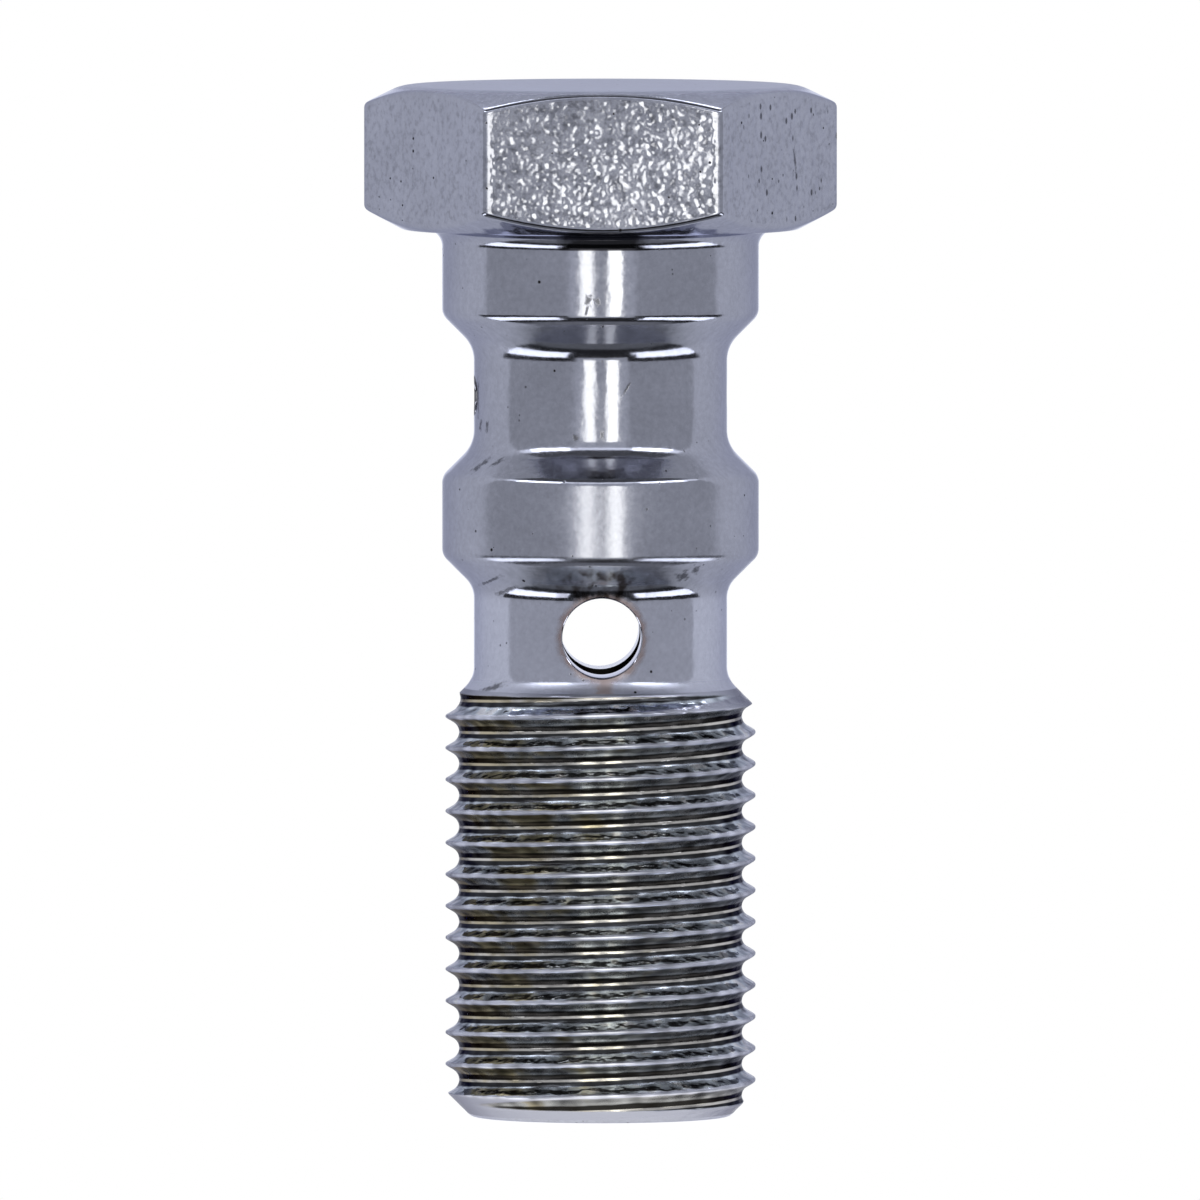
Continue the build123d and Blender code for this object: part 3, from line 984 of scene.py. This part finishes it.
# Shading runs smoothly over the edges, but for those that bend more than this
CRISP_EDGE = radians(28)
shell = bmesh.new()
shell.from_mesh(body.data)
for edge in shell.edges:
    edge.smooth = len(edge.link_faces) == 2 and edge.calc_face_angle(0) < CRISP_EDGE
for face in shell.faces:
    face.smooth = True
shell.to_mesh(body.data)
shell.free()
body.data.transform(Matrix.Scale(MM, 4))
weighting = body.modifiers.new("weighted_normals", "WEIGHTED_NORMAL")
weighting.mode = "FACE_AREA_WITH_ANGLE"
weighting.keep_sharp = True
body.data = finished_mesh(body)
body.modifiers.clear()
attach(body, "root")
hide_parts("banjo_bolt")


# ---- The studio ------------------------------------------------------------------------------
# A small pale shelf in a white tent, with two strip lights beside the lens. Cards hang in the tent,
# grey and black ones to give the metal its dark bands and bright ones to give it its highlights.
# The studio's sizes are in metres, and the camera's in millimetres.
TENT_RADIUS = 1.6
TENT_GLOW = 0.64
TENT_COLOUR = (0.957, 0.99, 1.111, 1)

# Each card hides the ones before it: degrees aside from and to, degrees up from and to, soft edge and
# glow. Aside is counted from the lens, which is at 0, and the same card hangs on either side of it.
CARDS = [
    (-10, 93, -95, 95, 4, 0.42),  # the half of the tent that the lens looks from
    (-10, 25, -95, 95, 5, 0.56),  # the cloth round the lens
    (-10, 5, -95, 95, 3, 0.45),  # the gap that the lens looks through
    (168, 190, -10, 20, 6, 1.0),  # the wall straight behind the bolt
    (-10, 190, 45, 95, 12, 0.42),  # the roof
    (150, 190, 40, 60, 4, 0.62),  # the rear of the roof
    (164, 190, 60, 95, 2, 0.1),  # a dark card over the rear
    (130, 160, 51, 69, 3, 4.0),  # a bright card at either side of it
    (-10, 93, 39, 47, 2, 1.3),  # a pale strip along the front of the roof
    (-10, 93, 47, 80, 4, 0.1),  # a dark card above that strip
    (-10, 104, -95, -15, 3, 0.03),  # black cloth below the lens
    (-10, 25, -28, -14, 2, 0.5),  # a grey strip on its upper edge
    (34, 102, -44, -27, 3, 2.2),  # a bright card low at either side
    (34, 78, 38, 47, 2, 4.0),  # a bright card high at either side
    (-10, 118, -95, -58, 8, 0.22),  # the table below it
]

LAMP_DISTANCE = 1.5
LAMP_COLOUR = (1.0, 0.98, 0.87)
LAMP_WIDTH = radians(10)
LAMP_FOOT = radians(-28)
LAMP_TOP = radians(26)
# The lamps' foot and top are seen from the middle of the bolt, which is this far under the head
LAMP_DROP = 0.012

FLOOR_HEIGHT = TIP * MM
FLOOR_RADIUS = 0.006
FLOOR_SIDES = 96
FLOOR_GREY = (0.3, 0.3, 0.3, 1)
FLOOR_GLOW = 0.9
ROOM_GLOW = 0.6
WHITE = (1, 1, 1, 1)

SENSOR_WIDTH = 36.0
CAMERA_DISTANCE = 1250.0
CAMERA_RISE = radians(2.7)
CAMERA_SWING = radians(-0.7)
AIM = Vector((-0.016, 0, -11.73))
PIXELS_PER_MM = 31.65
PICTURE_WIDTH = 1200


def emptied(owner):
    """The node tree of a material or a world, made and emptied."""
    owner.use_nodes = True
    owner.node_tree.nodes.clear()
    return owner.node_tree


def seen_white(tree):
    """1 for camera, glossy and transmission rays, which see the plain white of the studio."""
    rays = add_node(tree, "ShaderNodeLightPath").outputs
    kinds = [rays["Is Camera Ray"], rays["Is Glossy Ray"], rays["Is Transmission Ray"]]
    return chained(tree, "MAXIMUM", kinds)


def tent():
    """The white tent and the cards in it, as one sphere whose glow depends on the direction."""
    ball = bmesh.new()
    bmesh.ops.create_uvsphere(ball, u_segments=64, v_segments=32, radius=TENT_RADIUS)
    mesh = bpy.data.meshes.new("tent")
    ball.to_mesh(mesh)
    ball.free()
    material = bpy.data.materials.new("tent_glow")
    tree = emptied(material)
    spot = add_node(tree, "ShaderNodeTexCoord").outputs["Object"]
    axes = add_node(tree, "ShaderNodeSeparateXYZ", {0: spot}).outputs
    aside = calc(tree, "ARCTAN2", axes["X"], times(tree, axes["Y"], -1.0))
    aside = calc(tree, "DEGREES", calc(tree, "ABSOLUTE", aside))
    up = calc(tree, "DEGREES", calc(tree, "ARCSINE", calc(tree, "DIVIDE", axes["Z"], TENT_RADIUS)))
    glow = TENT_GLOW
    for nearest, farthest, lowest_edge, highest_edge, soft, brightness in CARDS:
        card = band(tree, aside, nearest, farthest, soft)
        card = times(tree, card, band(tree, up, lowest_edge, highest_edge, soft))
        glow = result_of(tree, "ShaderNodeMix", {0: card, 2: glow, 3: brightness})
    light = result_of(tree, "ShaderNodeEmission", {"Color": TENT_COLOUR, "Strength": glow})
    add_node(tree, "ShaderNodeOutputMaterial", {0: light})
    mesh.materials.append(material)
    piece = add_object("tent", mesh)
    piece.visible_camera = False
    piece.visible_shadow = False


def strip_light(name, azimuth, brightness):
    """A tall soft lamp beside the lens."""
    low, high = LAMP_DISTANCE * tan(LAMP_FOOT), LAMP_DISTANCE * tan(LAMP_TOP)
    lamp = bpy.data.lights.new(name, "AREA")
    lamp.shape = "RECTANGLE"
    lamp.size = 2 * LAMP_DISTANCE * tan(LAMP_WIDTH / 2)
    lamp.size_y = high - low
    lamp.energy = brightness * pi * lamp.size * lamp.size_y
    lamp.color = LAMP_COLOUR
    piece = add_object(name, lamp)
    turn = radians(azimuth)
    height = (low + high) / 2 - LAMP_DROP
    piece.location = (LAMP_DISTANCE * sin(turn), -LAMP_DISTANCE * cos(turn), height)
    piece.rotation_euler = (pi / 2, 0, turn)
    piece.visible_camera = False


tent()
strip_light("left_strip", azimuth=-10.5, brightness=1.7)
strip_light("right_strip", azimuth=10.2, brightness=2.1)

rim = []
for step in range(FLOOR_SIDES):
    around = 2 * pi * step / FLOOR_SIDES
    rim.append((FLOOR_RADIUS * cos(around), FLOOR_RADIUS * sin(around), FLOOR_HEIGHT))
floor_mesh = bpy.data.meshes.new("floor")
floor_mesh.from_pydata(rim, [], [tuple(range(FLOOR_SIDES))])
floor = add_object("floor", floor_mesh)
paper = bpy.data.materials.new("white_paper")
paper_tree = emptied(paper)
matt = result_of(paper_tree, "ShaderNodeBsdfDiffuse", {"Color": FLOOR_GREY})
paper_glow = times(paper_tree, seen_white(paper_tree), FLOOR_GLOW)
shine = result_of(paper_tree, "ShaderNodeEmission", {"Color": WHITE, "Strength": paper_glow})
both = result_of(paper_tree, "ShaderNodeAddShader", {0: matt, 1: shine})
add_node(paper_tree, "ShaderNodeOutputMaterial", {0: both})
floor_mesh.materials.append(paper)

# The tent is open to the camera, which sees the plain white of the room through it
world = bpy.data.worlds.new("white_room")
bpy.context.scene.world = world
room = emptied(world)
room_glow = plus(room, ROOM_GLOW, times(room, seen_white(room), 1 - ROOM_GLOW))
sky = result_of(room, "ShaderNodeBackground", {"Color": WHITE, "Strength": room_glow})
add_node(room, "ShaderNodeOutputWorld", {0: sky})

camera_data = bpy.data.cameras.new("camera")
camera_data.sensor_width = SENSOR_WIDTH
camera_data.lens = PIXELS_PER_MM * SENSOR_WIDTH * CAMERA_DISTANCE / PICTURE_WIDTH
camera_data.clip_start = 0.01
camera_data.clip_end = 10.0
camera = add_object("camera", camera_data)
level = cos(CAMERA_RISE)
towards_eye = Vector((level * sin(CAMERA_SWING), -level * cos(CAMERA_SWING), sin(CAMERA_RISE)))
camera.location = (AIM + CAMERA_DISTANCE * towards_eye) * MM
camera.rotation_euler = towards_eye.to_track_quat("Z", "Y").to_euler()
bpy.context.scene.camera = camera
bpy.context.scene.view_settings.view_transform = "Standard"
